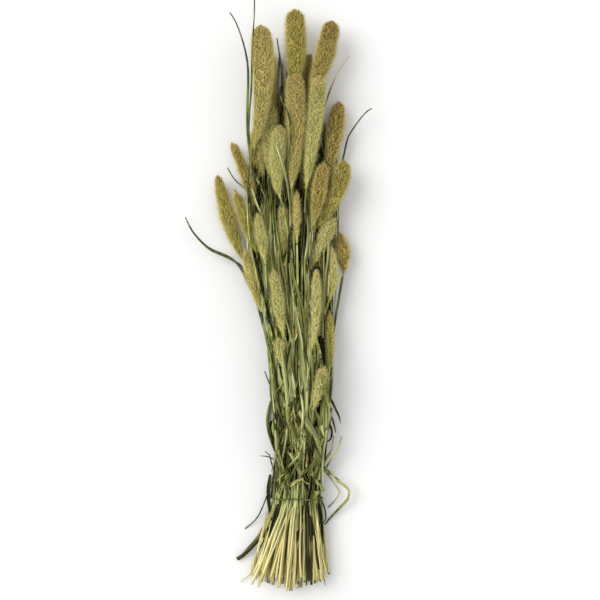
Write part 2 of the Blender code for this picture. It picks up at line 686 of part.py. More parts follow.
def finish(name):
    """A Principled material, made once for each finish."""
    found = bpy.data.materials.get(name)
    if found:
        return found
    colour, rough = FINISHES[name]
    material = bpy.data.materials.new(name)
    material.use_nodes = True
    shader = material.node_tree.nodes["Principled BSDF"]
    shader.inputs["Base Color"].default_value = (*colour, 1)
    shader.inputs["Roughness"].default_value = rough
    return material


def to_origin(objects):
    """Moves the bunch so that the origin is at the middle of its underside."""
    corners = np.array([vert.co for obj in objects for vert in obj.data.vertices])
    middle = (corners.min(axis=0) + corners.max(axis=0)) / 2
    for obj in objects:
        for vert in obj.data.vertices:
            vert.co.x -= middle[0]
            vert.co.y -= middle[1]


def main():
    for obj in list(bpy.data.objects):
        bpy.data.objects.remove(obj)
    draw = random.Random(SEED)
    s = Strands()
    cuts, pairs, press_pairs = lay_out_plants(s, draw)
    blades = lay_out_blades(s, pairs, press_pairs, draw)
    table = table_block()
    bunch = bpy.data.collections.new("foxtail_millet_bunch")
    bpy.context.scene.collection.children.link(bunch)
    made = []
    for number, plant in enumerate(PLANTS):
        line = path_points(s, number, plant[3], plant[1])
        sides = HEAD_SIDES if number < SHOWN else HEAD_SIDES - 2
        made.append((seed_head(f"seed_head_{number + 1:02d}", line, plant[5], plant[8], sides), plant[7]))
    solids = {}
    for number, pair in enumerate(pairs):
        solids[number] = [stem_pieces(s, plant, cuts[plant]) for plant in pair]
    for number, blade in enumerate(blades):
        owner = next(n for n, pair in enumerate(pairs) if blade["plant"] in pair)
        solids[owner].append(blade_piece(s, number, blade, draw))
    for number, pieces in solids.items():
        made.append((fused(f"leafy_stems_{number + 1:02d}", pieces), "stem"))
    made.append((tie_ring(s), "twine"))
    objects = []
    for obj, look in made:
        obj = cut_at_table(obj, table)
        obj.data.materials.clear()
        obj.data.materials.append(finish(look))
        bpy.context.scene.collection.objects.unlink(obj)
        bunch.objects.link(obj)
        objects.append(obj)
    to_origin(objects)


if __name__ == "__main__":
    main()
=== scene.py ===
"""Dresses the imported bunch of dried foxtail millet: grains and bristles on its heads, dry stems and leaves,
the tie and a plain studio. The file is laid out as an add-on and run as a script. Lengths are in millimetres
up to each mesh."""

import json
import math
from functools import cache

import bmesh
import bpy
import numpy as np
from bpy.props import FloatProperty, FloatVectorProperty, IntProperty, PointerProperty
from bpy.types import Operator, Panel, PropertyGroup
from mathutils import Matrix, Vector
from mathutils.bvhtree import BVHTree


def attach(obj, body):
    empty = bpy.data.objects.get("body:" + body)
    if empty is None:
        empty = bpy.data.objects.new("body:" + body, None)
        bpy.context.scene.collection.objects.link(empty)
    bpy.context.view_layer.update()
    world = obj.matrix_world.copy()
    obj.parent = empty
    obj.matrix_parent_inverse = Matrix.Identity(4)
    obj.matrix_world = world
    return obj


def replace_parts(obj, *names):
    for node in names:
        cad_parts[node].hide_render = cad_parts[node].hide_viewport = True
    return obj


bl_info = {
    "name": "Dried Foxtail Millet",
    "version": (1, 0, 0),
    "blender": (4, 5, 0),
    "location": "View3D > Sidebar > Millet",
    "description": "Grains, bristles, dry leaves and twine for a tied bunch of foxtail millet",
    "category": "Object",
}

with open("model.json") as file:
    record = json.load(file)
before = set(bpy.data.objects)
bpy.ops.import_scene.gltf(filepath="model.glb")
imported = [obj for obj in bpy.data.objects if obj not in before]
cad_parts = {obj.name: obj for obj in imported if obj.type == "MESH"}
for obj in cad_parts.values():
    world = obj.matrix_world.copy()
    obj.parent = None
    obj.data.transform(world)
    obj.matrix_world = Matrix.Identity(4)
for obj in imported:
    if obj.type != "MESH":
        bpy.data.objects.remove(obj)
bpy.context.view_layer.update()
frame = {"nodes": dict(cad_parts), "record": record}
MM = 0.001
GOLDEN_TURN = math.pi * (3 - math.sqrt(5))
SKY = 200.0  # a height above everything, from which rays look down for what a leaf lies on
CAMERA_OVER = (0.0261, -0.0038)  # the place under the middle of the picture, in metres
MID_HEIGHT = 0.022  # height at which the field is measured, in metres: the middle of the bunch
FLOOR_REACH = 30.0  # the floor's half breadth, in metres
ROOM_LIGHT = 0.66  # strength of the white light from all around
HEAD_SEED, LEAF_SEED, STALK_SEED = 900, 41, 77  # seeds of the random draws
FAN_START = -238  # where the stems begin to fan out to their cut ends, just above the tie

# Lamps: strength, how wide each looks and how it is turned, both in degrees.
LAMPS = (("window", 1.6, 44, (0, -40, -28)), ("fill", 0.3, 90, (0, 40, 20)))

# The body of the bunch from the cut ends up to the heads: place along it, left edge, right edge and height.
BODY = (
    (-352, -36, 62, 28), (-300, -24, 60, 36), (-262, -16, 58, 34), (-242, -12, 56, 31), (-196, -8, 57, 42),
    (-148, -7, 60, 44), (-100, -9, 64, 45), (-52, -12, 66, 46), (-4, -26, 70, 48), (44, -38, 74, 50),
    (92, -44, 76, 50), (164, -46, 78, 48), (236, -40, 70, 44), (320, -30, 60, 36),
)

# Loose leaves on top of the bunch, most of them across the waist and the tie: x and y of the points along
# each, its widest breadth, its straw share and its tone, from dark to pale.
WAIST_LEAVES = (
    ((26, -52, 30, -100, 40, -150), 5, 0.1, 0.6), ((8, -95, 12, -130, 14, -160, 18, -190), 4.5, 0.2, 0.5),
    ((-9, -126, -13, -150, -9, -172, 2, -196), 5, 0.15, 0.35),
    ((52, -92, 58, -130, 58, -165, 50, -200), 4.5, 0.3, 0.5),
    ((4, -60, 10, -110, 12, -150, 5, -196), 4.5, 0.1, 0.7),
    ((38, -60, 42, -108, 36, -150, 30, -190), 4.5, 0.2, 0.6),
    ((58, -40, 60, -90, 52, -136, 47, -176), 5, 0.1, 0.5),
    ((-10, -215, -12, -240, -9, -262, -3, -280), 5, 0.1, 0.2),
    ((50, -190, 46, -205, 42, -224, 39, -246), 4, 0.3, 0.3),
    ((-8, -150, -10, -160, -6, -174, -3, -185), 6, 0, 0.15),
    ((22, -150, 32, -159, 36, -174, 41, -184), 8, 0, 0.45),
    ((14, -147, 21, -164, 27, -177, 32, -192), 6, 0, 0.4), ((44, -135, 51, -154, 55, -169), 4.8, 0.3, 0.8),
    ((24, -133, 33, -147, 41, -160, 48, -174, 51, -192), 7.5, 0, 0.65),
    ((64, -136, 60, -152, 55, -166), 3, 0.4, 0.8), ((49, -177, 48, -188, 46, -201, 44, -213), 8, 0, 0.55),
    ((13, -147, 10, -164, 7, -181, 4, -198), 3.4, 0.85, 0.8),
    ((10, -182, 16, -188, 22, -202, 27, -213, 32, -222), 4.6, 0.45, 0.7),
    ((12, -208, 6, -222, 0, -231), 6, 0.1, 0.45), ((10, -212, 4, -231, -2, -250), 2.8, 0.85, 0.9),
    ((-2, -221, 4, -214, 10, -208), 2.2, 0.4, 0.7), ((24, -208, 32, -221, 42, -227), 3.4, 0.5, 0.6),
    ((14, -227, 22, -220, 31, -217), 4.4, 0.6, 0.6), ((-2, 180, 5, 158, 11, 134, 14, 108), 3.6, 0.1, 0.8),
    ((-32, 130, -27, 114, -20, 98), 3.2, 0.3, 1), ((40, -214, 38, -232, 34, -250, 33, -268), 5, 0, 0.1),
    ((13, -250, 10, -268, 7, -286, 4, -304), 5, 0, 0), ((27, -256, 26, -270, 23, -286, 20, -300), 4.6, 0, 0),
    ((38, -262, 40, -284, 43, -306, 46, -326), 7.5, 0, 0.05),
    ((-1, -248, -4, -262, -8, -276, -12, -290), 4.6, 0, 0.05), ((-12, -276, -17, -290, -22, -304), 4, 0, 0),
    ((49, -248, 51, -266, 53, -284, 54, -298), 4.6, 0, 0.1),
    ((16, -126, 24, -148, 32, -167, 40, -181), 6.5, 0, 0.25),
    ((-5, -145, 1, -162, 7, -179, 14, -193), 7, 0, 0.3), ((28, -157, 33, -172, 37, -190), 6, 0, 0),
    ((12, -172, 15, -186, 14, -203), 5, 0, 0.02), ((26, -208, 33, -222, 37, -237), 5, 0, 0.05),
    ((13, 74, 12, 32, 14, -16), 4, 0, 0), ((30, 122, 30, 86, 27, 42), 3.6, 0, 0),
    ((48, 42, 52, 14, 52, -16), 4, 0, 0.05),
)

# How far the clusters of grain stand out on the heads of each finish, in millimetres, how much they are drawn
# out along the head (less than 1 makes them longer), and how dark the painted shade in the gaps between them
# is.
CLUSTERS = {
    "tan": (1.1, 0.7, 0.32),
    "brown": (1.6, 0.9, 0.7),
    "olive": (1.2, 0.7, 0.42),
    "green": (0.9, 0.85, 0.25),
}

# How deep the core and the roots of the grains and bristles lie beneath the skin of a head, in millimetres.
CORE_DEPTH, GRAIN_DEPTH, BRISTLE_DEPTH = 1.9, 1.5, 1.8

# How far grains and bristles lean out from the run of a head, between two angles in radians.
GRAIN_LEAN, BRISTLE_LEAN = (0.35, 0.95), (0.4, 1.15)

# Tones of the grain, from dark to pale, on the heads that are darker or paler than others of their finish.
TONES = {
    1: (0.35, 1.4), 2: (0.05, 1.05), 3: (-0.25, 0.65), 4: (-0.1, 0.6), 5: (-0.12, 0.82), 6: (0.2, 1.15),
    7: (0.1, 1.1), 9: (0.1, 1.1), 10: (0.7, 1.5), 13: (0.2, 1.2), 14: (-0.22, 0.78), 15: (0.25, 1.1),
    16: (0.05, 0.95), 17: (0.1, 1.1), 18: (0, 0.6), 19: (-0.1, 0.8), 20: (-0.2, 0.7), 22: (0.25, 1.15),
    23: (0.5, 1.5), 26: (0.3, 1.2), 27: (0, 0.5), 30: (-0.1, 0.6), 31: (-0.1, 0.6),
}

# Dry curls that stick out of the bunch: x, y and z of the points from the root, breadth, half thickness and
# straw share.
CURLS = (
    ((-4, -252, 27, -9, -262, 26, -14, -272, 25, -15, -280, 24), 6, 0.4, 0.8),
    ((-4, -196, 20, -12, -192, 20, -22, -191, 19), 1.4, 0.5, 0.1),
    ((-16, -277, 14, -27, -296, 10, -37, -307, 7, -44, -313, 5, -50, -317, 4), 4.8, 1.9, 0.1),
    ((50, -240, 30, 56, -256, 26, 56, -268, 22, 51, -275, 20), 2.4, 0.5, 0.1),
    ((38, -310, 14, 41, -328, 10, 44, -346, 6), 2.6, 1.1, 0.1),
    ((34, -334, 12, 28, -344, 9, 22, -353, 6), 1.6, 0.6, 0.1),
    ((50, -300, 12, 53, -326, 9, 57, -350, 7), 1.8, 0.7, 0.1),
    ((54, -300, 12, 58, -320, 9, 61, -335, 6), 2.4, 0.95, 0.1),
    ((-14, -300, 14, -26, -326, 8, -36, -337, 5, -47, -345, 3), 2.2, 0.6, 0.95),
    ((-10, -318, 8, -20, -336, 5, -25, -349, 3), 2, 0.6, 0.95),
    ((-18, -290, 16, -27, -312, 10, -33, -326, 6), 2.6, 0.9, 1),
    ((-8, -306, 14, -16, -328, 8, -30, -343, 4), 1.8, 0.6, 0.9),
    ((62, -120, 30, 68, -133, 28, 73, -144, 24, 75, -152, 22), 3.4, 0.8, 0.1),
    ((60, -150, 30, 64, -160, 28, 62, -171, 26, 53, -176, 28), 3, 0.6, 0.1),
)


def linear(code):
    """The linear colour of an sRGB hex value."""
    parts = [int(code[i : i + 2], 16) / 255 for i in (1, 3, 5)]
    return tuple(c / 12.92 if c <= 0.04045 else ((c + 0.055) / 1.055) ** 2.4 for c in parts)


def colour(name, code, what):
    tint = {"subtype": "COLOR", "size": 3, "min": 0, "max": 1, "default": linear(code)}
    return FloatVectorProperty(name=name, description=what, **tint)


def length(name, millimetres, what):
    return FloatProperty(name=name, description=what, unit="LENGTH", min=0, default=millimetres * MM)


class HeadSettings(PropertyGroup):
    grain_length: length("Grain length", 2.9, "Length of one husked grain")
    grain_breadth: length("Grain breadth", 1.9, "Breadth of one husked grain")
    grains: FloatProperty(name="Grains", description="Grains on each square millimetre", default=0.27)
    lobe: length("Lobe", 3.5, "Distance between the little clusters that the grains sit in")
    bristle_length: length("Bristle length", 8.2, "Length of one bristle")
    bristle_breadth: length("Bristle breadth", 0.3, "Breadth of one bristle at its root")
    bristles: FloatProperty(name="Bristles", description="Bristles on each square millimetre", default=0.5)
    tan: colour("Tan grain", "#e3cb7a", "Husks of the heads that ripened to tan")
    brown: colour("Brown grain", "#ccb157", "Husks of the ripest heads")
    olive: colour("Olive grain", "#c8ba55", "Husks of the heads that dried olive")
    green: colour("Green grain", "#e5e38d", "Husks of the heads that were cut unripe")
    foot: colour("Grain at the foot", "#d0d06e", "Husks at the foot of each head, which stay pale green")
    tip: colour("Grain at the tip", "#b38d45", "Husks at the tip of each head, which ripen first")
    # Painted shade in the gaps between the clusters of grain, which also darkens the core.
    hollow: colour("Hollows", "#524717", "Dark gaps between the clusters of grain")
    bristle: colour("Bristle", "#ede198", "Dry bristles")


class StemSettings(PropertyGroup):
    green: colour("Green stem", "#91994b", "Stems and sheaths above the tie")
    # The dark stem colour is also the painted shade above the tie, deep in the bunch and in the gaps between
    # strands.
    shade: colour("Dark stem", "#20260d", "The darker green of some stems")
    # Painted shade among the straw below the tie: deep in the bunch and in the gaps between strands.
    soiled: colour("Shadowed straw", "#40361a", "Straw in the gaps between the cut ends")
    straw: colour("Straw", "#f9eda6", "Bleached stems near the cut ends")
    stalks: IntProperty(name="Cut stalks", description="Stalks and sheaths among the cut ends", default=90)
    curl: colour("Curled leaf", "#566040", "Thin leaves that dried hanging clear of the bunch")
    fibre: length("Fibre", 0.8, "Distance between the ridges along a stem")


class LeafSettings(PropertyGroup):
    green: colour("Green leaf", "#8a9347", "Leaves that dried green")
    # The dark leaf colour is also painted shade: on leaves deep in the bunch and on one side of each fold.
    shade: colour("Dark leaf", "#161b09", "Leaves that dried in the shade of the others")
    pale: colour("Pale leaf", "#dde3a4", "Leaves that faded in the light")
    straw: colour("Straw leaf", "#ddd186", "Bleached leaves")
    inner: IntProperty(name="Inner leaves", description="Leaves and stems that fill the bunch", default=380)
    outer: IntProperty(name="Outer leaves", description="Leaves over the bunch below its heads", default=64)
    scraps: IntProperty(name="Scraps", description="Torn bits of leaf tried at the waist", default=100)
    thickness: length("Thickness", 0.3, "Thickness of a dry leaf")
    vein: length("Vein spacing", 0.9, "Distance between the veins of a leaf, coarser than life to show")


class TieSettings(PropertyGroup):
    colour: colour("Twine", "#6f7e45", "Green twine round the stems")
    pitch: length("Lay", 7.0, "Length of one turn of the two strands")
    strand: length("Strand", 0.62, "Radius of each of the two strands")


class StageSettings(PropertyGroup):
    floor: colour("Floor", "#f8f8f8", "White paper under the bunch")
    field: length("Field", 720.0, "Width that the camera sees")
    height: length("Camera height", 2200.0, "Height of the camera above the floor")


SETTINGS = {
    "millet_heads": HeadSettings,
    "millet_stems": StemSettings,
    "millet_leaves": LeafSettings,
    "millet_tie": TieSettings,
    "millet_stage": StageSettings,
}


def node(tree, kind, inputs=(), **settings):
    """Adds a node, sets its properties, and links each of its inputs to a socket or sets it to a value."""
    made = tree.nodes.new(kind)
    for name, value in settings.items():
        setattr(made, name, value)
    for where, source in dict(inputs).items():
        if isinstance(source, bpy.types.NodeSocket):
            tree.links.new(source, made.inputs[where])
        else:
            wants_alpha = made.inputs[where].type == "RGBA" and len(source) == 3
            made.inputs[where].default_value = (*source, 1.0) if wants_alpha else source
    return made


def laid_over(tree, below, above, by, low, high, least=0.0, most=1.0, blend="MIX"):
    """One colour laid over another: its share runs from least, at a low pattern, to most, at a high one."""
    span = {"Value": by, "From Min": low, "From Max": high, "To Min": least, "To Max": most}
    share = node(tree, "ShaderNodeMapRange", span).outputs["Result"]
    colours = {0: share, 6: below, 7: above}
    mixed = node(tree, "ShaderNodeMix", colours, data_type="RGBA", blend_type=blend, clamp_factor=True)
    return mixed.outputs[2]


def layered(tree, base, layers):
    """A base colour with others laid over it: each layer is a colour and what laid_over takes after it."""
    for layer in layers:
        base = laid_over(tree, base, *layer)
    return base


def streaks(tree, vector, spacing, detail=2.0):
    """Uneven streaks whose features measure spacing, in metres, along X, Y and Z of the vector."""
    stretch = {"Vector": vector, "Scale": tuple(1 / s for s in spacing)}
    at = node(tree, "ShaderNodeMapping", stretch).outputs["Vector"]
    return node(tree, "ShaderNodeTexNoise", {"Vector": at, "Scale": 1.0, "Detail": detail}).outputs["Fac"]


def finish_material(name, roughness, colour_of, specular=0.35, ridges=0.0):
    """A material with the colour and ridges of colour_of(tree, read, place): read gives a mesh attribute."""
    made = bpy.data.materials.new(name)
    made.use_nodes = True
    tree = made.node_tree
    shader = tree.nodes["Principled BSDF"]
    shader.inputs["Roughness"].default_value = roughness
    shader.inputs["IOR"].default_value = 1.45
    shader.inputs["Specular IOR Level"].default_value = specular
    read = lambda key: node(tree, "ShaderNodeAttribute", attribute_name=key).outputs["Fac"]
    place = node(tree, "ShaderNodeTexCoord").outputs["Object"]
    colour_made, height = colour_of(tree, read, place)
    tree.links.new(colour_made, shader.inputs["Base Color"])
    if ridges:
        relief = {"Height": height, "Distance": ridges * MM, "Strength": 0.6}
        tree.links.new(node(tree, "ShaderNodeBump", relief).outputs["Normal"], shader.inputs["Normal"])
    return made


def scaled(tint, *shares):
    """A colour with its red, green and blue taken by the given shares, or all of them by one."""
    shares = shares if len(shares) == 3 else shares * 3
    return tuple(min(1.0, c * s) for c, s in zip(tint, shares))


def husk_material(name, base, gaps, heads):
    """Dry millet husk: a papery matt shell over each grain, paler where cut green, painted shade between
    clusters.
    """

    def colour_of(tree, read, place):
        tone, along, crest = read("tone"), read("along"), read("crest")
        patches = streaks(tree, place, (9 * MM, 14 * MM, 9 * MM))
        pale, dark = tuple(min(1.0, c * 1.75 + 0.02) for c in base), scaled(base, 0.5)
        layers = (
            (pale, tone, 0.25, 0.75),
            (base, tone, 0.3, 0.7, 0.75, 0.25),
            (heads.foot, along, 0.05, 0.6, 0.75, 0.0),
            (heads.tip, along, 0.55, 1.0, 0.0, 0.6),
            # painted shade on the grains in the gaps between clusters
            (heads.hollow, crest, 0.0, 0.4, gaps, 0.0),
            (dark, patches, 0.4, 0.62, 0.0, 0.4, "MULTIPLY"),
        )
        return layered(tree, dark, layers), None

    return finish_material(name, 0.62, colour_of)


def bristle_material(name, base, heads):
    """Dry bristle: a fine stiff hair that catches the light, its tone drawn at random from dark to pale."""
    pale = tuple(min(1.0, 0.9 * a + 0.3 * b) for a, b in zip(heads.bristle, base))
    dark = tuple(0.5 * a + 0.08 * b for a, b in zip(base, heads.bristle))

    def colour_of(tree, read, place):
        return laid_over(tree, dark, pale, read("tone"), 0.05, 0.55), None

    return finish_material(name, 0.5, colour_of)


def pith_material(name, base, gaps, heads):
    """The stalk and husk bases inside a head, which show between its clusters, dark in their own colour and
    with painted shade.
    """
    # Painted shade: the core is darker on the finishes whose gaps between clusters are darker.
    dark, light = scaled(heads.hollow, 0.6), scaled(base, 0.58 - 0.5 * gaps)

    def colour_of(tree, read, place):
        spots = streaks(tree, place, (2 * MM, 3 * MM, 2 * MM))
        return laid_over(tree, dark, light, spots, 0.0, 1.0), None

    return finish_material(name, 0.8, colour_of, 0.2)


def stem_material(stems):
    """Dry grass stem: a hard ridged skin with a slight sheen, green above the tie and bleached at the cut."""

    def colour_of(tree, read, place):
        across, up = node(tree, "ShaderNodeSeparateXYZ", {0: place}).outputs[:2]
        strands = streaks(tree, place, (4 * MM, 220 * MM, 4 * MM))
        fibres = streaks(tree, place, (stems.fibre, 40 * MM, stems.fibre), 3.0)
        strips = streaks(tree, place, (2.2 * MM, 70 * MM, 2.2 * MM))
        # Some strands start to turn to straw 20 mm above the tie, and others 20 mm below it.
        staggered = {0: strands, 1: -100 * MM, 2: up}
        uneven = node(tree, "ShaderNodeMath", staggered, operation="MULTIPLY_ADD").outputs[0]
        # Painted shade: dark green above the tie, turning to dark brown among the straw below it.
        painted_shade = laid_over(tree, stems.shade, stems.soiled, up, -232 * MM, -300 * MM)
        stem = (
            (scaled(stems.green, 1.2), strands, 0.41, 0.52),
            (stems.straw, uneven, -290 * MM, -335 * MM),
            # Painted shade: in streaks, for the dark gaps between narrow strands, and deep beneath the top of
            # the bunch.
            (painted_shade, strips, 0.48, 0.38, 0.0, 0.6),
            (painted_shade, read("depth"), 0.3, 1.3, 0.0, 0.7),
            # Pale lines along the fibres: partly pale fibres, partly painted highlights on the ridges.
            (scaled(stems.straw, 1.5), fibres, 0.52, 0.68, 0.0, 0.5),
            (stems.shade, fibres, 0.48, 0.34, 0.0, 0.55, "MULTIPLY"),
        )
        curled = ((stems.shade, fibres, 0.4, 0.6), (stems.green, strips, 0.5, 0.62, 0.0, 0.7))
        leaf = layered(tree, stems.curl, curled)
        # Leaves that hang clear on the right are bleached at the waist and the heads, and green at the tie.
        bleached = (
            (stems.straw, up, -150 * MM, -190 * MM, 0.0, 0.6),
            (leaf, up, FAN_START * MM, -258 * MM, 0.0, 0.85),
            (stems.straw, up, 235 * MM, 265 * MM, 0.0, 0.6),
        )
        leaf = laid_over(tree, leaf, layered(tree, leaf, bleached), across, 60 * MM, 66 * MM)
        return laid_over(tree, layered(tree, stems.shade, stem), leaf, read("loose"), 0.0, 1.0), fibres

    return finish_material("dry grass stem", 0.52, colour_of, 0.15, ridges=0.25)


def strand_material(name, green, shade, pale, straw, spacing, roughness):
    """Dry grass blade or sheath: papery, with parallel veins along it, green to straw as each piece says."""

    def colour_of(tree, read, place):
        tone, edge = read("tone"), read("edge")
        lie = node(tree, "ShaderNodeAttribute", attribute_name="lie").outputs["Vector"]
        veins = streaks(tree, lie, (spacing, 45 * MM, 1.0), 3.0)
        blotches = streaks(tree, lie, (8 * MM, 22 * MM, 1.0))
        bleached = laid_over(tree, scaled(straw, 0.55, 0.48, 0.36), straw, tone, 0.1, 0.75)
        uneven = {0: blotches, 1: 1.25, 2: read("straw")}
        patchy = node(tree, "ShaderNodeMath", uneven, operation="MULTIPLY_ADD").outputs[0]
        rim = node(tree, "ShaderNodeMath", {0: edge}, operation="ABSOLUTE").outputs[0]
        layers = (
            (green, tone, 0.17, 0.6),
            (pale, tone, 0.5, 0.94),
            (bleached, patchy, 0.825, 1.425),
            (straw, veins, 0.55, 0.75, 0.0, 0.3),
            (shade, veins, 0.45, 0.3, 0.0, 0.5, "MULTIPLY"),
            (shade, edge, 0.1, -0.2, 0.0, 0.5),  # one side of the fold is in shade
            (straw, rim, 0.75, 1.0, 0.0, 0.4),  # the edges paler
        )
        return layered(tree, shade, layers), veins

    return finish_material(name, roughness, colour_of, 0.06, ridges=0.2)


def twine_material(tie):
    """Twine of twisted paper: dull green, with fine darker fibres."""

    def colour_of(tree, read, place):
        fibres = streaks(tree, place, (0.5 * MM, 0.5 * MM, 0.5 * MM))
        return laid_over(tree, scaled(tie.colour, 0.5), tie.colour, fibres, 0.35, 0.65), fibres

    return finish_material("twisted paper twine", 0.75, colour_of, 0.2, ridges=0.1)


def paper_material(tint):
    """White paper: matt and even, with a faint tooth."""

    def colour_of(tree, read, place):
        tooth = streaks(tree, place, (40 * MM, 40 * MM, 40 * MM))
        return laid_over(tree, scaled(tint, 0.985), tint, tooth, 0.0, 1.0), None

    return finish_material("white paper", 0.9, colour_of, 0.1)


def arrays_of(bm):
    """The corners and triangles of a bmesh, which is then freed."""
    bmesh.ops.triangulate(bm, faces=bm.faces)
    bm.verts.index_update()
    points = np.array([v.co for v in bm.verts])
    triangles = np.array([[v.index for v in f.verts] for f in bm.faces])
    bm.free()
    return points, triangles


@cache
def grain_shape():
    """A grain: eight sides, which are shaded smooth."""
    bm = bmesh.new()
    bmesh.ops.create_uvsphere(bm, u_segments=4, v_segments=2, radius=1)
    return arrays_of(bm)


@cache
def spike_shape():
    """A bristle: a thin spike of three sides."""
    bm = bmesh.new()
    bmesh.ops.create_cone(bm, cap_ends=True, segments=3, radius1=1, radius2=0, depth=1)
    bmesh.ops.remove_doubles(bm, verts=bm.verts, dist=1e-4)
    bmesh.ops.translate(bm, verts=bm.verts, vec=(0, 0, 0.5))
    return arrays_of(bm)


@cache
def rod_shape(sides, stations):
    """A closed rod that stalks, leaves and cores are bent from: angle and ring of each corner, triangles."""
    bm = bmesh.new()
    bmesh.ops.create_cone(bm, cap_ends=True, segments=sides, radius1=1, radius2=1, depth=stations - 1)
    sides_of_it = [e for e in bm.edges if abs(e.verts[0].co.z - e.verts[1].co.z) > 0.5]
    bmesh.ops.subdivide_edges(bm, edges=sides_of_it, cuts=stations - 2, use_grid_fill=True)
    points, triangles = arrays_of(bm)
    rings = np.rint(points[:, 2] + (stations - 1) / 2).astype(int)
    return np.arctan2(points[:, 1], points[:, 0]), rings, triangles


def added(name, data):
    """A new object in the scene."""
    made = bpy.data.objects.new(name, data)
    bpy.context.scene.collection.objects.link(made)
    return made


def piece(name, groups, materials):
    """One object from groups of (points, triangles, attributes), with a material for each group."""
    points = np.concatenate([g[0] for g in groups])
    starts = np.cumsum([0] + [len(g[0]) for g in groups])
    triangles = np.concatenate([g[1] + s for g, s in zip(groups, starts)])
    kinds = np.concatenate([np.full(len(g[1]), i) for i, g in enumerate(groups)])
    mesh = bpy.data.meshes.new(name)
    mesh.vertices.add(len(points))
    mesh.vertices.foreach_set("co", (points * MM).astype(np.float32).ravel())
    mesh.loops.add(triangles.size)
    mesh.loops.foreach_set("vertex_index", triangles.astype(np.int32).ravel())
    mesh.polygons.add(len(triangles))
    mesh.polygons.foreach_set("loop_start", np.arange(0, triangles.size, 3, dtype=np.int32))
    mesh.polygons.foreach_set("material_index", kinds.astype(np.int32))
    mesh.polygons.foreach_set("use_smooth", np.ones(len(triangles), bool))
    mesh.update(calc_edges=True)
    for key in groups[0][2]:
        values = np.concatenate([np.asarray(g[2][key], np.float32) for g in groups])
        kind, field = ("FLOAT", "value") if values.ndim == 1 else ("FLOAT_VECTOR", "vector")
        mesh.attributes.new(key, kind, "POINT").data.foreach_set(field, values.ravel())
    for material in materials:
        mesh.materials.append(material)
    made = added(name, mesh)
    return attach(made, "root")


def unit(vectors):
    return vectors / np.maximum(np.linalg.norm(vectors, axis=-1, keepdims=True), 1e-9)


def copies(shape, at, aim, out, long, broad, thick, **values):
    """Copies of a small shape, with values of each: its Z goes along aim, its X goes across."""
    points, triangles = shape
    aim = unit(aim)
    across = unit(np.cross(out, aim))
    up = np.cross(aim, across)
    placed = at[:, None]
    for i, (axis, size) in enumerate(((across, broad), (up, thick), (aim, long))):
        placed = placed + axis[:, None] * points[None, :, i, None] * size[:, None, None]
    shifted = triangles[None] + (np.arange(len(at)) * len(points))[:, None, None]
    values = {key: np.repeat(np.asarray(value, np.float32), len(points)) for key, value in values.items()}
    return placed.reshape(-1, 3), shifted.reshape(-1, 3), values


def distances(lines):
    """The distance along each line [..., point, xyz] at each of its points."""
    steps = np.linalg.norm(np.diff(lines, axis=-2), axis=-1)
    return np.concatenate([np.zeros((*steps.shape[:-1], 1)), np.cumsum(steps, -1)], axis=-1)


def bent_rods(sides, lines, half_breadth, half_thickness, fold=0.0, twist=0.0, tone=0.5, straw=0.5):
    """Rods bent to lines [rod, ring, xyz]. fold lifts both edges of a leaf, and twist turns it, in radians.

    Each value is one number, a column with one for each rod, or one for each ring of each rod."""
    rods, count = lines.shape[:2]
    angles, rings, triangles = rod_shape(sides, count)
    values = (half_breadth, half_thickness, fold, twist, tone, straw)
    wide, deep, fold, twist, tone, straw = (np.broadcast_to(value, (rods, count)) for value in values)
    run = unit(np.gradient(lines, axis=1))
    side = unit(np.cross(run, (0.0, 0.0, 1.0)))
    rise = np.cross(side, run)
    turned = side * np.cos(twist)[..., None] + rise * np.sin(twist)[..., None]
    lifted = np.cross(turned, run)
    passed = distances(lines)
    across = wide[:, rings] * np.cos(angles)
    height = deep[:, rings] * np.sin(angles) + (fold * wide)[:, rings] * np.abs(np.cos(angles))
    points = lines[:, rings] + turned[:, rings] * across[..., None] + lifted[:, rings] * height[..., None]
    shifted = triangles[None, :, ::-1] + (np.arange(rods) * len(angles))[:, None, None]
    number = np.broadcast_to(np.arange(rods)[:, None] * 7.0, across.shape)
    values = {
        "tone": tone[:, rings].ravel(),
        "straw": straw[:, rings].ravel(),
        "lie": np.stack([across * MM, passed[:, rings] * MM, number], axis=-1).reshape(-1, 3),
        # edge runs across each rod, for the painted shade on one side of a fold and the paler edges; every
        # third rod has its sides swapped.
        "edge": (np.cos(angles) * np.where(np.arange(rods) % 3, 1, -1)[:, None]).ravel(),
    }
    return points.reshape(-1, 3), shifted.reshape(-1, 3), values


def corners(name):
    """The corners of a solid, in millimetres."""
    mesh = frame["nodes"][name].data
    found = np.empty(len(mesh.vertices) * 3, np.float32)
    mesh.vertices.foreach_get("co", found)
    return np.unique(np.round(found.reshape(-1, 3).astype(float) / MM, 3), axis=0)


def head_line(name, stations):
    """The centreline of a head from its foot to its tip, and its radius there, read from its solid."""
    points = corners(name)
    centre = points.mean(0)
    run = np.linalg.svd(points - centre, full_matrices=False)[2][0]
    run = run if run[1] > 0 else -run
    place = (points - centre) @ run
    low, high = place.min(), place.max()
    aside = points - centre - place[:, None] * run
    curve = np.polyfit(place, aside, 3)
    bow = lambda at: np.stack([at**k for k in (3, 2, 1, 0)], axis=1) @ curve
    reach = np.linalg.norm(aside - bow(place), axis=1)
    edges = np.linspace(low, high, 15)
    middles = (edges[:-1] + edges[1:]) / 2
    inside = [reach[(place >= a) & (place <= b)] for a, b in zip(edges[:-1], edges[1:])]
    widths = [np.percentile(r, 80) if len(r) else np.nan for r in inside]
    known = ~np.isnan(widths)
    at = np.linspace(low, high, stations)
    radius = smoothed(np.interp(at, middles[known], np.array(widths)[known])[None], 6)[0]
    line = centre + at[:, None] * run + bow(at)
    # The foot narrows over 7 mm, and the tip is a dome 10 mm long.
    foot, dome = (at - low) / 9 + 0.25, np.sqrt(1 - np.clip(1 - (high - at) / 10, 0, 0.98) ** 2)
    return line, radius * np.minimum(foot, dome).clip(0, 1)


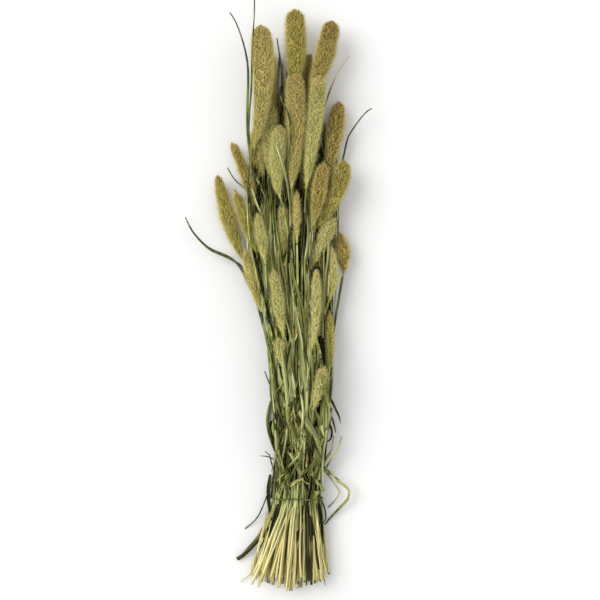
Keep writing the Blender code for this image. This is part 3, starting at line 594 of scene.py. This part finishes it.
def along_head(line, radius, count, draw):
    """Places spread evenly over a head: how far along, angle, centre, radius, run, outward, its length."""
    steps, passed = np.linalg.norm(np.diff(line, axis=0), axis=1), distances(line)
    area = np.concatenate([[0], np.cumsum(steps * (radius[1:] + radius[:-1]) / 2)])
    order = (np.arange(count) + draw.uniform(-0.5, 0.5, count) + 0.5) / count
    place = np.interp(order * area[-1], area, passed)
    turn = np.arange(count) * GOLDEN_TURN + draw.uniform(-0.35, 0.35, count)
    centre = np.stack([np.interp(place, passed, line[:, i]) for i in range(3)], axis=1)
    slope = np.gradient(line, passed, axis=0)
    run = unit(np.stack([np.interp(place, passed, slope[:, i]) for i in range(3)], axis=1))
    side = unit(np.cross(run, (0.0, 0.0, 1.0)))
    out = side * np.cos(turn)[:, None] + np.cross(side, run) * np.sin(turn)[:, None]
    return place, turn, centre, np.interp(place, passed, radius), run, out, passed[-1]


def nearest_crest(place, turn, radius, lobes):
    """How near each place is to the middle of its cluster of grains: 1 there, and 0 between clusters."""
    spot, angle, spacing, stretch = lobes
    round_it = np.abs((turn[:, None] - angle[None] + math.pi) % (2 * math.pi) - math.pi) * radius[:, None]
    far = np.hypot(round_it, (place[:, None] - spot[None]) * stretch).min(1)
    return np.clip(1 - (far / (0.66 * spacing)) ** 2, 0, 1)


def aimed(draw, run, out, lean, stray):
    """Directions that lean out from the run of a head, between two angles in radians, and stray a little."""
    lean = draw.uniform(*lean, len(run))[:, None]
    return run * np.cos(lean) + out * np.sin(lean) + draw.normal(0, stray, out.shape)


def dressed_head(name, finish, materials, heads):
    """One head: a dark core, clusters of husked grains that point up and out, and bristles between them."""
    number = int(name[-2:])
    draw = np.random.default_rng(HEAD_SEED + number)
    line, radius = head_line(name, 40)
    area = float(np.sum(np.linalg.norm(np.diff(line, axis=0), axis=1) * (radius[1:] + radius[:-1]))) * math.pi
    spacing = heads.lobe / MM
    depth, stretch, _ = CLUSTERS[finish]
    place, turn, *_ = along_head(line, radius, int(area / spacing**2 * 1.25 * stretch), draw)
    lobes = (place, turn, spacing, stretch)

    thick = (radius - CORE_DEPTH).clip(0.5)[None]
    core, triangles, _ = bent_rods(12, line[None], thick, thick)
    groups = [(core, triangles, dict.fromkeys(("tone", "along", "crest"), np.zeros(len(core))))]

    place, turn, centre, wide, run, out, whole = along_head(line, radius, int(area * heads.grains), draw)
    crest = nearest_crest(place, turn, wide, lobes)
    aim = aimed(draw, run, out, GRAIN_LEAN, 0.16)
    seat = wide - GRAIN_DEPTH - depth * (1 - crest) + draw.uniform(-0.25, 0.25, len(place))
    size = draw.uniform(0.8, 1.15, len(place))
    long, broad = heads.grain_length / MM / 2 * size, heads.grain_breadth / MM / 2 * size
    sizes = (long, broad, broad * 0.85)
    roots = centre + out * seat.clip(0.6)[:, None]
    tone = draw.uniform(*TONES.get(number, (0, 1)), len(place))
    groups.append(copies(grain_shape(), roots, aim, out, *sizes, tone=tone, along=place / whole, crest=crest))

    place, turn, centre, wide, run, out, whole = along_head(line, radius, int(area * heads.bristles), draw)
    aim = aimed(draw, run, out, BRISTLE_LEAN, 0.14)
    long = heads.bristle_length / MM * draw.uniform(0.6, 1.15, len(place)) * (1 - 0.65 * (place / whole) ** 7)
    thick = heads.bristle_breadth / MM / 2 * draw.uniform(0.8, 1.2, len(place))
    roots = centre + out * (wide - BRISTLE_DEPTH).clip(0.4)[:, None]
    values = {"tone": draw.uniform(0, 1, len(place)), "along": place / whole, "crest": np.ones(len(place))}
    groups.append(copies(spike_shape(), roots, aim, out, long, thick, thick, **values))

    for points, _, _ in groups:
        points[:, 2] = points[:, 2].clip(0.05)
    made = piece(f"millet_head_{number:02d}", groups, materials)
    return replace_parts(made, name)


def dressed_stems(name, material):
    """A finer copy of a group of stems and leaves: merged and rounded, with its leaf edges kept sharp."""
    bm = bmesh.new()
    bm.from_mesh(frame["nodes"][name].data)
    bmesh.ops.remove_doubles(bm, verts=bm.verts, dist=0.02 * MM)
    bmesh.ops.recalc_face_normals(bm, faces=bm.faces)
    crease = bm.edges.layers.float.new("crease_edge")
    for edge in bm.edges:
        if len(edge.link_faces) == 2 and edge.calc_face_angle() > math.radians(75):
            edge[crease] = 1.0
    for face in bm.faces:
        face.smooth = True
    loose, depth = bm.verts.layers.float.new("loose"), bm.verts.layers.float.new("depth")
    for vert in bm.verts:
        place = vert.co / MM
        vert[loose] = clear_of_bunch(place)
        # Painted shade: stems are darkest 13 mm beneath the top of the bunch, and 18 mm beneath it among the
        # heads.
        vert[depth] = beneath_top(*place) / (10 if place.y < 50 else 14)
    mesh = bpy.data.meshes.new(name + "_dry")
    bm.to_mesh(mesh)
    bm.free()
    mesh.materials.append(material)
    made = added(mesh.name, mesh)
    rounded = made.modifiers.new("rounded", "SUBSURF")
    rounded.levels = rounded.render_levels = 1
    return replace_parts(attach(made, "root"), name)


def clear_of_bunch(place):
    """1 where a stem or leaf hangs clear of the bunch or lies among its upper heads, and 0 inside it."""
    middle, half, _ = body_at(place.y)
    return float(np.clip((abs(place.x - middle) - half) / 5, 0, 1) if place.y < 150 else 1)


def beneath_top(x, y, z):
    """How far a place lies beneath the rounded top of the bunch, in millimetres."""
    middle, half, height = body_at(y)
    return height / 2 * (1 + np.sqrt(np.clip(1 - ((x - middle) / half) ** 2, 0, 1))) - z


def body_at(y):
    """Middle, half breadth and height of the bunch at places along it."""
    table = np.array(BODY, float)
    left, right, height = (np.interp(y, table[:, 0], table[:, i]) for i in (1, 2, 3))
    return (left + right) / 2, (right - left) / 2, height


def smoothed(values, rounds):
    for _ in range(rounds):
        inner = (values[:, :-2] + 2 * values[:, 1:-1] + values[:, 2:]) / 4
        values = np.concatenate([values[:, :1], inner, values[:, -1:]], axis=1)
    return values


def wander(draw, count, stations, size):
    """A slow random drift along each rod."""
    knots = draw.normal(0, size, (count, 5))
    at = np.linspace(0, 4, stations)
    return smoothed(np.stack([np.interp(at, np.arange(5), k) for k in knots]), 3)


def surface_of(prefix="", others=()):
    """A search tree of the solids whose names start with prefix, and of the given pieces."""
    points, faces = [], []
    for item in [frame["nodes"][n] for n in sorted(frame["nodes"]) if n.startswith(prefix)] + list(others):
        start = len(points)
        points += [v.co / MM for v in item.data.vertices]
        faces += [[start + i for i in p.vertices] for p in item.data.polygons]
    return BVHTree.FromPolygons(points, faces)


def tops(tree, x, y):
    """Heights of the top of what is at each place, and 0 where there is nothing."""
    heights = np.zeros(x.shape)
    for index in np.ndindex(x.shape):
        hit = tree.ray_cast(Vector((x[index], y[index], SKY)), Vector((0, 0, -1)))[0]
        heights[index] = hit.z if hit else 0.0
    return heights


def draped(tree, x, y, clear):
    """Heights at which a leaf lies on what is below it, bridging what is narrower than the leaf is stiff."""
    heights = tops(tree, x, y)
    wide = np.maximum(heights, np.maximum(np.roll(heights, 1, 1), np.roll(heights, -1, 1)))
    wide[:, 0], wide[:, -1] = heights[:, 0], heights[:, -1]
    return smoothed(wide, 3) + clear


def leaf_breadth(stations, widest):
    """Half breadth along each leaf of a column of breadths: narrow at the root, drawn out to the tip."""
    t = np.linspace(0, 1, stations)[None]
    return widest / 2 * np.clip((0.35 + 3.2 * t) ** 0.7, 0, 1) * (1 - t**2.6) ** 0.8 + 0.12


def inner_strands(draw, count, heads, thickness):
    """Leaves and thin stems that fill the bunch from the tie up, spread evenly through its body."""
    stations, rods = 18, (count, 1)
    t = np.linspace(0, 1, stations)[None]
    start = draw.uniform(-250, -90, rods)
    end = np.where(draw.random(rods) < 0.7, draw.uniform(-20, 120, rods), draw.uniform(120, 290, rods))
    # Some of them lie among the heads, and some on top of the bunch below them.
    upper = draw.random(rods) < 0.18
    start = np.where(upper, start / 2 + 155, start)
    end = np.where(upper, draw.uniform(200, 285, rods), end)
    topmost = ~upper & (draw.random(rods) < 0.26)
    start = np.where(topmost, draw.uniform(-60, 40, rods), start)
    end = np.where(topmost, draw.uniform(110, 200, rods), end)
    y = start + (end - start) * t
    angle, far = draw.uniform(0, 2 * math.pi, rods), np.sqrt(draw.random(rods))
    across = far * np.cos(angle) * 0.93 + wander(draw, count, stations, 0.07)
    rise = far * np.sin(angle) * 0.88 + wander(draw, count, stations, 0.05)
    rise = np.where(topmost, np.sqrt(1 - across.clip(-0.98, 0.98) ** 2) * 0.86, rise)
    rise = np.where(y > 60, rise - (y - 60) / 260, rise).clip(-0.9, 0.9)
    across = across * np.where(y > 120, 1 - (y - 120) / 400, 1)
    middle, half, height = body_at(y)
    x = middle + across.clip(-1, 1) * half
    z = height / 2 + rise * (height / 2 - 1.5)
    over = tops(heads, x, y)
    z = smoothed(np.where(over > 0, np.minimum(z, over - 6), z), 2).clip(3)
    stemmy = draw.random(rods) < 0.4
    breadth = np.where(stemmy, draw.uniform(1.5, 2.6, rods), draw.uniform(2.4, 5.4, rods))
    half_breadth = np.where(stemmy, breadth / 2, leaf_breadth(stations, breadth))
    half_thick = np.where(stemmy, breadth / 2, thickness / 2)
    twist = np.cumsum(wander(draw, count, stations, 0.35), axis=1) + draw.uniform(-0.8, 0.8, rods)
    fold = np.where(stemmy, 0, draw.uniform(0.1, 0.5, rods))
    bright = np.where(stemmy, draw.uniform(0.45, 1.7, rods), draw.uniform(0.2, 1.45, rods))
    # Painted shade: what lies deeper in the bunch is darker.
    tone = bright * np.clip(1.3 - beneath_top(x, y, z) / np.where(y > 50, 10, 6), 0.02, 1)
    straw = np.where(draw.random(rods) < 0.1, draw.uniform(0.4, 0.8, rods), draw.uniform(0, 0.2, rods))
    return bent_rods(6, np.stack([x, y, z], -1), half_breadth, half_thick, fold, twist, tone, straw)


def outer_leaves(draw, count, tree, heads, thickness):
    """Leaves that lie along the top of the bunch, from the waist up to the heads and beside them."""
    # Four times as many are tried, and the first ones that keep clear of the heads are kept.
    stations, tries = 18, (4 * count, 1)
    t = np.linspace(0, 1, stations)[None]
    y = draw.uniform(-215, -10, tries) + draw.uniform(60, 170, tries) * t
    middle, half, _ = body_at(y)
    place = draw.uniform(-0.95, 0.95, tries) + draw.normal(0, 0.14, tries) * t
    x = middle + (place + wander(draw, 4 * count, stations, 0.05)).clip(-1, 1) * half
    kept = np.flatnonzero((tops(heads, x, y) > 0).mean(1) < 0.06)[:count]
    x, y, rods = x[kept], y[kept], (len(kept), 1)
    z = draped(tree, x, y, 0.4)
    breadth = draw.uniform(2.0, 4.8, rods)
    twist = wander(draw, len(kept), stations, 0.7)
    fold = draw.uniform(0.1, 0.55, rods)
    tone = draw.uniform(0.2, 1.0, rods)
    straw = np.where(draw.random(rods) < 0.14, draw.uniform(0.5, 0.9, rods), draw.uniform(0, 0.3, rods))
    lines = np.stack([x, y, z], -1)
    return bent_rods(6, lines, leaf_breadth(stations, breadth), thickness / 2, fold, twist, tone, straw)


def spline(points, stations):
    """A smooth line through the given points, at even shares of its length."""
    points = points.astype(float)
    steps = distances(points)
    slopes = np.gradient(points, steps, axis=0)
    at = np.linspace(0, steps[-1], stations)
    i = np.searchsorted(steps, at, side="right").clip(1, len(steps) - 1)
    span = (steps[i] - steps[i - 1])[:, None]
    u = ((at - steps[i - 1]) / span[:, 0])[:, None]
    a, b, p, q = points[i - 1], points[i], slopes[i - 1] * span, slopes[i] * span
    leaving = a * (2 * u**3 - 3 * u**2 + 1) + p * (u**3 - 2 * u**2 + u)
    return leaving + b * (3 * u**2 - 2 * u**3) + q * (u**3 - u**2)


def waist_leaves(draw, tree, thickness):
    """The loose leaves that lie across the waist, over the tie and on the lower heads."""
    stations = 18
    flat = np.stack([spline(np.reshape(row[0], (-1, 2)), stations) for row in WAIST_LEAVES])
    x, y, count = flat[..., 0], flat[..., 1], len(flat)
    lift = np.abs(wander(draw, count, stations, 1.2))
    z = (draped(tree, x, y, 0.7) + lift).clip(3)
    breadth, straw, tone = (np.array([[row[i]] for row in WAIST_LEAVES]) for i in (1, 2, 3))
    twist = wander(draw, count, stations, 0.5)
    fold = draw.uniform(0.1, 0.4, (count, 1))
    lines = np.stack([x, y, z], -1)
    return bent_rods(8, lines, leaf_breadth(stations, breadth), thickness / 2, fold, twist, tone, straw)


def scraps(draw, count, tree, heads, thickness):
    """Short torn and curled bits of leaf round the waist, none of them over a head."""
    stations, rods = 12, (count, 1)
    t = np.linspace(0, 1, stations)[None]
    start = draw.uniform(-228, -85, rods)
    way = np.where(start < -172, 1, draw.choice([-1, 1], rods))
    lean = draw.normal(0, 0.5, rods)
    run = draw.uniform(18, 60, rods)
    bend = draw.normal(0, 0.6, rods)
    middle, half, _ = body_at(start)
    x = middle + draw.uniform(-1, 1, rods) * half * 0.97 + run * np.sin(lean) * t + bend * run * t**2 * 0.4
    y = start + run * np.cos(lean) * t * way
    inside = (np.abs(x - middle) < half).all(1)
    kept = np.flatnonzero(inside & ((tops(heads, x, y) > 0).sum(1) == 0))
    x, y, rods = x[kept], y[kept], (len(kept), 1)
    z = (draped(tree, x, y, 0.6) + draw.uniform(0, 4, rods) * t**2).clip(3)
    twist = np.cumsum(wander(draw, len(kept), stations, 0.45), axis=1)
    tone, straw = draw.uniform(0, 0.8, rods), draw.choice([0.0, 0.1, 0.2, 0.6], rods)
    breadth = leaf_breadth(stations, draw.uniform(1.6, 4.6, rods))
    return bent_rods(6, np.stack([x, y, z], -1), breadth, thickness / 2, 0.3, twist, tone, straw)


def cut_stalks(draw, count):
    """Loose stalks and flattened sheaths that fan out from the tie to the cut ends."""
    stations, rods = 14, (count, 1)
    t = np.linspace(0, 1, stations)[None]
    angle, far = draw.uniform(0, 2 * math.pi, rods), draw.uniform(0.7, 1.0, rods)
    across, rise = far * np.cos(angle), far * np.sin(angle)
    top = draw.uniform(-235, -170, rods)
    low = draw.uniform(-352, -334, rods) + 12 * np.abs(across)
    y = top + (low - top) * t
    fan = np.clip((FAN_START - y) / 100, 0, 1.2)
    middle, half = 22.5 - 7.0 * fan, 30 * (1 + 0.5 * fan)
    skew = np.where(across < 0.35, draw.uniform(-4, 24, rods), draw.uniform(-12, 6, rods))
    x = middle + (across * 0.92 + wander(draw, count, stations, 0.03)) * half + skew * (0.45 - fan)
    z = 16 + 6 * fan + rise * (12 + 10 * fan) + wander(draw, count, stations, 0.4)
    flat = draw.random(rods) < 0.45
    wide = np.where(flat, draw.uniform(1.0, 2.0, rods), draw.uniform(0.5, 1.2, rods)) * (0.85 + 0.15 * t)
    deep = np.where(flat, wide * 0.35, wide)
    twist = draw.uniform(-0.6, 0.6, rods) + wander(draw, count, stations, 0.15)
    # Some stalks on the right are dark: dark green sheaths, and painted shade for the dark gaps between the
    # pale stalks.
    dark = draw.random(rods) < np.where(across > 0.15, 0.36, 0.0)
    dried = np.where(dark, 0.15, draw.uniform(0.7, 1, rods))
    straw = (0.1 + 0.95 * np.clip((FAN_START - y) / 62, 0, 1)) * dried
    bleached = np.where(dark, 0.12, draw.uniform(0.25, 1.1, rods))
    tone = bleached * (0.9 + 0.6 * np.clip((-292 - y) / 35, 0, 1))
    return bent_rods(8, np.stack([x, y, z.clip(2.6)], -1), wide, deep, 0.0, twist, tone, straw)


def curls():
    """The dry curls and stray stalks that stick out of the bunch."""
    stations = 12
    lines = np.stack([spline(np.reshape(row[0], (-1, 3)), stations) for row in CURLS])
    breadth, deep, straw = (np.array([[row[i]] for row in CURLS]) for i in (1, 2, 3))
    wide = np.where(deep > 0.9, breadth / 2, leaf_breadth(stations, breadth))
    return bent_rods(6, lines, wide, deep, 0.2, 0.3, 0.1 + 0.5 * straw, straw)


class MILLET_OT_seed_heads(Operator):
    """Covers each seed head with husked grains and bristles"""

    bl_idname = "millet.seed_heads"
    bl_label = "Seed Heads"

    def execute(self, context):
        heads = context.scene.millet_heads
        materials = {}
        for finish, (_, _, gaps) in CLUSTERS.items():
            base = getattr(heads, finish)
            pith = pith_material(f"husk bases {finish}", base, gaps, heads)
            husk = husk_material(f"dry millet husk {finish}", base, gaps, heads)
            materials[finish] = [pith, husk, bristle_material(f"dry bristle {finish}", base, heads)]
        for row in frame["record"]["subparts"]:
            if row["node"].startswith("seed_head_"):
                finish = row["material_slot"].rsplit("_", 1)[1]
                dressed_head(row["node"], finish, materials[finish], heads)
        return {"FINISHED"}


class MILLET_OT_leafy_stems(Operator):
    """Gives the stems and their leaves rounded ridges and the finish of dry grass"""

    bl_idname = "millet.leafy_stems"
    bl_label = "Leafy Stems"

    def execute(self, context):
        material = stem_material(context.scene.millet_stems)
        for name in sorted(frame["nodes"]):
            if name.startswith("leafy_stems_"):
                dressed_stems(name, material)
        return {"FINISHED"}


class MILLET_OT_loose_leaves(Operator):
    """Fills the bunch with dry leaves and lays others over it"""

    bl_idname = "millet.loose_leaves"
    bl_label = "Loose Leaves"

    def execute(self, context):
        leaves = context.scene.millet_leaves
        thick = leaves.thickness / MM
        tints = (leaves.green, leaves.shade, leaves.pale, leaves.straw)
        blade = strand_material("dry grass leaf", *tints, leaves.vein, 0.58)
        draw = np.random.default_rng(LEAF_SEED)
        heads = surface_of("seed_head_")
        inside = inner_strands(draw, leaves.inner, heads, thick)
        filling = piece("inner_leaves", [inside], [blade])
        tree = surface_of(others=[filling])
        piece("outer_leaves", [outer_leaves(draw, leaves.outer, tree, heads, thick)], [blade])
        piece("waist_leaves", [waist_leaves(draw, tree, thick)], [blade])
        piece("leaf_scraps", [scraps(draw, leaves.scraps, tree, heads, thick)], [blade])
        return {"FINISHED"}


class MILLET_OT_cut_stalks(Operator):
    """Adds the loose stalks, sheaths and dark curls among the cut ends"""

    bl_idname = "millet.cut_stalks"
    bl_label = "Cut Stalks"

    def execute(self, context):
        stems, leaves = context.scene.millet_stems, context.scene.millet_leaves
        green, shade, straw = stems.green, stems.shade, stems.straw
        sheath = strand_material("dry grass sheath", green, shade, leaves.pale, straw, stems.fibre, 0.5)
        dark = strand_material("dark curled leaf", stems.curl, shade, green, straw, leaves.vein, 0.6)
        draw = np.random.default_rng(STALK_SEED)
        piece("cut_stalks", [cut_stalks(draw, stems.stalks)], [sheath])
        piece("dark_curls", [curls()], [dark])
        return {"FINISHED"}


class MILLET_OT_tie(Operator):
    """Lays the two twisted strands of the tie where its solid is"""

    bl_idname = "millet.tie"
    bl_label = "Tie"

    def execute(self, context):
        tie = context.scene.millet_tie
        points = corners("tie")
        centre = (points.min(0) + points.max(0)) / 2
        across, _, rise = (points - centre).T
        turns, far = np.arctan2(rise, across), np.hypot(rise, across)
        at, evened = np.linspace(-math.pi, math.pi, 241), 0.07  # its outline is evened out over 0.07 radians
        apart = np.abs((turns[:, None] - at[None] + math.pi) % (2 * math.pi) - math.pi)
        weights = np.exp(-((apart / evened) ** 2))
        reach = (far[:, None] * weights).sum(0) / weights.sum(0)
        out = np.stack([np.cos(at), np.zeros_like(at), np.sin(at)], axis=1)
        line = centre + out * reach[:, None]
        passed = distances(line)
        rounds = round(passed[-1] / (tie.pitch / MM))
        lay = passed / passed[-1] * rounds * 2 * math.pi
        radius = tie.strand / MM
        lines = []
        for phase in (0, math.pi):
            aside = out * np.cos(lay + phase)[:, None] + np.array((0, 1, 0)) * np.sin(lay + phase)[:, None]
            lines.append(line + aside * radius * 0.85)
        made = bent_rods(6, np.stack(lines), radius, radius)
        made[0][:, 2] = made[0][:, 2].clip(0.1)
        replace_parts(piece("twine", [made], [twine_material(tie)]), "tie")
        return {"FINISHED"}


class MILLET_OT_stage(Operator):
    """Sets the floor, the soft light and the camera straight above the bunch"""

    bl_idname = "millet.stage"
    bl_label = "Stage"

    def execute(self, context):
        scene, stage = context.scene, context.scene.millet_stage
        bm = bmesh.new()
        bmesh.ops.create_grid(bm, x_segments=1, y_segments=1, size=FLOOR_REACH)
        mesh = bpy.data.meshes.new("floor")
        bm.to_mesh(mesh)
        bm.free()
        mesh.materials.append(paper_material(stage.floor))
        floor = added("floor", mesh)

        world = bpy.data.worlds.new("soft room")
        world.use_nodes = True
        background = world.node_tree.nodes["Background"]
        background.inputs["Color"].default_value = (1.0, 1.0, 1.0, 1.0)
        background.inputs["Strength"].default_value = ROOM_LIGHT
        scene.world = world
        for name, strength, spread, turn in LAMPS:
            light = bpy.data.lights.new(name, "SUN")
            light.energy, light.angle = strength, math.radians(spread)
            lamp = added(name, light)
            lamp.rotation_euler = [math.radians(a) for a in turn]

        camera = added("camera", bpy.data.cameras.new("camera"))
        camera.data.sensor_fit = "HORIZONTAL"
        camera.data.angle = 2 * math.atan(stage.field / 2 / (stage.height - MID_HEIGHT))
        camera.location = (*CAMERA_OVER, stage.height)
        scene.camera = camera
        scene.view_settings.view_transform = "Standard"
        return {"FINISHED"}


class MILLET_PT_panel(Panel):
    """The steps that dress the bunch, and their settings"""

    bl_idname = "MILLET_PT_panel"
    bl_label = "Foxtail Millet"
    bl_space_type = "VIEW_3D"
    bl_region_type = "UI"
    bl_category = "Millet"

    def draw(self, context):
        for step in STEPS:
            self.layout.operator(step.bl_idname)
        for key, group in SETTINGS.items():
            box = self.layout.box()
            for name in group.__annotations__:
                box.prop(getattr(context.scene, key), name)


STEPS = (
    MILLET_OT_seed_heads,
    MILLET_OT_leafy_stems,
    MILLET_OT_loose_leaves,
    MILLET_OT_cut_stalks,
    MILLET_OT_tie,
    MILLET_OT_stage,
)
CLASSES = (*SETTINGS.values(), *STEPS, MILLET_PT_panel)


def register():
    for made in CLASSES:
        bpy.utils.register_class(made)
    for key, group in SETTINGS.items():
        setattr(bpy.types.Scene, key, PointerProperty(type=group))


def unregister():
    for key in SETTINGS:
        delattr(bpy.types.Scene, key)
    for made in reversed(CLASSES):
        bpy.utils.unregister_class(made)


def main():
    register()
    bpy.ops.millet.seed_heads()
    bpy.ops.millet.leafy_stems()
    bpy.ops.millet.loose_leaves()
    bpy.ops.millet.cut_stalks()
    bpy.ops.millet.tie()
    bpy.ops.millet.stage()


if __name__ == "__main__":
    main()
